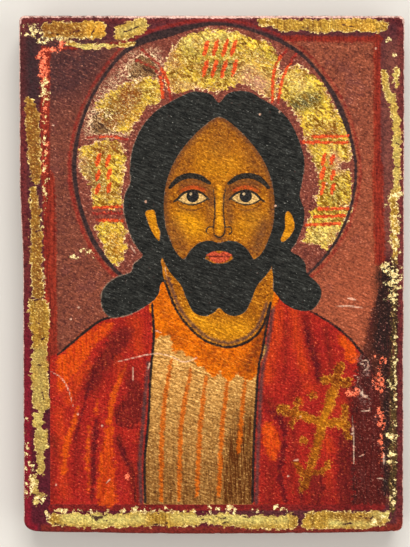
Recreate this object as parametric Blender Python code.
# Painted icon panel: one hand-cut wooden board with softened, worn edges.
# Metres, +Z up. The board lies on its back with the painted face up and the foot
# of the picture towards -Y. The origin is the middle of its footprint.

import math

import bmesh
import bpy
from mathutils import Vector

MM = 0.001

# The blank
BOARD_WIDTH = 106 * MM
BOARD_HEIGHT = 143 * MM
BOARD_THICKNESS = 14 * MM

# Corners of the outline, seen from the front
TOP_LEFT_RADIUS = 1.5 * MM
TOP_RIGHT_RADIUS = 1.6 * MM
BOTTOM_LEFT_RADIUS = 3.4 * MM
BOTTOM_RIGHT_RADIUS = 2.2 * MM

# Arrises between the faces and the sides
FRONT_ARRIS_RADIUS = 0.9 * MM
BACK_ARRIS_RADIUS = 0.7 * MM

# The saw wandered: the left side steps in below a height measured from the top,
# and the foot is cut a little round, so its ends stand higher than its middle.
LEFT_STEP_DEPTH = 0.9 * MM
LEFT_STEP_FROM_TOP = 45 * MM
LEFT_STEP_LENGTH = 26 * MM
FOOT_BOW = 0.7 * MM

# Rubbed hollows along the front arris: the side, how far along it (0 to 1, walking
# round counter-clockwise as seen from the front), half length, and added radius.
WORN_HOLLOWS = (
    ("top", 0.10, 5.0 * MM, 0.50 * MM),
    ("top", 0.42, 11.0 * MM, 0.35 * MM),
    ("left", 0.36, 4.5 * MM, 0.25 * MM),
    ("left", 0.86, 6.0 * MM, 0.40 * MM),
    ("bottom", 0.16, 7.0 * MM, 0.45 * MM),
    ("bottom", 0.60, 9.0 * MM, 0.30 * MM),
    ("right", 0.30, 7.0 * MM, 0.30 * MM),
    ("right", 0.88, 5.0 * MM, 0.40 * MM),
)

POINT_SPACING = 2.5 * MM
CORNER_STEPS = 6
FRONT_ARRIS_STEPS = 5
BACK_ARRIS_STEPS = 3

BOARD_COLOUR = (0.16, 0.035, 0.04, 1.0)
BOARD_ROUGHNESS = 0.55


def smooth_step(value):
    value = min(max(value, 0.0), 1.0)
    return value * value * (3 - 2 * value)


def hand_cut(point):
    """Moves a point of the true rectangle to where the wandering saw left it."""
    half_width, half_height = BOARD_WIDTH / 2, BOARD_HEIGHT / 2
    below_top = half_height - point.y
    stepped_in = smooth_step((below_top - LEFT_STEP_FROM_TOP) / LEFT_STEP_LENGTH)
    towards_left = (half_width - point.x) / BOARD_WIDTH
    towards_foot = below_top / BOARD_HEIGHT
    lift = FOOT_BOW * (point.x / half_width) ** 2
    return Vector(
        (
            point.x + LEFT_STEP_DEPTH * stepped_in * towards_left,
            point.y + lift * towards_foot,
        )
    )


def outline():
    """Rim points counter-clockwise, each with its outward direction and its side."""
    half_width, half_height = BOARD_WIDTH / 2, BOARD_HEIGHT / 2
    # Each corner with its radius, the direction its arc starts in, and the side after it.
    corners = (
        (1, 1, TOP_RIGHT_RADIUS, 0.0, "top"),
        (-1, 1, TOP_LEFT_RADIUS, 0.5 * math.pi, "left"),
        (-1, -1, BOTTOM_LEFT_RADIUS, math.pi, "bottom"),
        (1, -1, BOTTOM_RIGHT_RADIUS, 1.5 * math.pi, "right"),
    )
    arcs = []
    for across, up, radius, start, side in corners:
        centre = Vector((across * (half_width - radius), up * (half_height - radius)))
        arc = []
        for step in range(CORNER_STEPS + 1):
            angle = start + 0.5 * math.pi * step / CORNER_STEPS
            outward = Vector((math.cos(angle), math.sin(angle)))
            arc.append((centre + outward * radius, outward))
        arcs.append((arc, side))
    rim = []
    for index, (arc, side) in enumerate(arcs):
        for point, outward in arc:
            rim.append((point, outward, side, 0.0))
        start, outward = arc[-1]
        end = arcs[(index + 1) % len(arcs)][0][0][0]
        count = max(2, round((end - start).length / POINT_SPACING))
        for step in range(1, count):
            share = step / count
            rim.append((start.lerp(end, share), outward, side, share))
    return rim


def side_length(side):
    return BOARD_WIDTH if side in ("top", "bottom") else BOARD_HEIGHT


def arris_radius(side, share):
    """The front arris at a place on a side, with what rubbing has added to it."""
    radius = FRONT_ARRIS_RADIUS
    for worn_side, centre, half_length, added in WORN_HOLLOWS:
        if worn_side != side or not 0.0 < share < 1.0:
            continue
        distance = (share - centre) * side_length(side) / half_length
        # Nothing is rubbed off at the very ends, where the corner's arc takes over.
        fade = smooth_step(8 * share) * smooth_step(8 * (1 - share))
        radius += added * math.exp(-distance * distance) * fade
    return radius


def add_loop(mesh, rim, inset_and_height):
    """One closed loop of vertices: inset_and_height gives both for a rim point."""
    loop = []
    for point, outward, side, share in rim:
        inset, height = inset_and_height(side, share)
        flat = hand_cut(point - outward * inset)
        loop.append(mesh.verts.new((flat.x, flat.y, height)))
    return loop


def front_arris(step):
    angle = 0.5 * math.pi * step / FRONT_ARRIS_STEPS

    def place(side, share):
        radius = arris_radius(side, share)
        return radius * (1 - math.sin(angle)), BOARD_THICKNESS - radius * (1 - math.cos(angle))

    return place


def back_arris(step):
    angle = 0.5 * math.pi * step / BACK_ARRIS_STEPS

    def place(side, share):
        return BACK_ARRIS_RADIUS * (1 - math.cos(angle)), BACK_ARRIS_RADIUS * (1 - math.sin(angle))

    return place


def build_board():
    mesh = bmesh.new()
    rim = outline()
    loops = [add_loop(mesh, rim, front_arris(step)) for step in range(FRONT_ARRIS_STEPS + 1)]
    loops += [add_loop(mesh, rim, back_arris(step)) for step in range(BACK_ARRIS_STEPS + 1)]
    for upper, lower in zip(loops, loops[1:]):
        for index, corner in enumerate(upper):
            after = (index + 1) % len(upper)
            mesh.faces.new((corner, lower[index], lower[after], upper[after]))
    mesh.faces.new(loops[0])
    mesh.faces.new(reversed(loops[-1]))
    bmesh.ops.recalc_face_normals(mesh, faces=mesh.faces)
    data = bpy.data.meshes.new("wooden_panel")
    mesh.to_mesh(data)
    mesh.free()
    data.shade_smooth()
    data.set_sharp_from_angle(angle=math.radians(35))
    return data


def painted_wood():
    material = bpy.data.materials.new("painted_wood")
    material.use_nodes = True
    shader = material.node_tree.nodes["Principled BSDF"]
    shader.inputs["Base Color"].default_value = BOARD_COLOUR
    shader.inputs["Roughness"].default_value = BOARD_ROUGHNESS
    shader.inputs["Metallic"].default_value = 0.0
    return material


def main():
    for obj in list(bpy.data.objects):
        bpy.data.objects.remove(obj)
    board = bpy.data.objects.new("wooden_panel", build_board())
    bpy.context.scene.collection.objects.link(board)
    board.data.materials.append(painted_wood())


main()
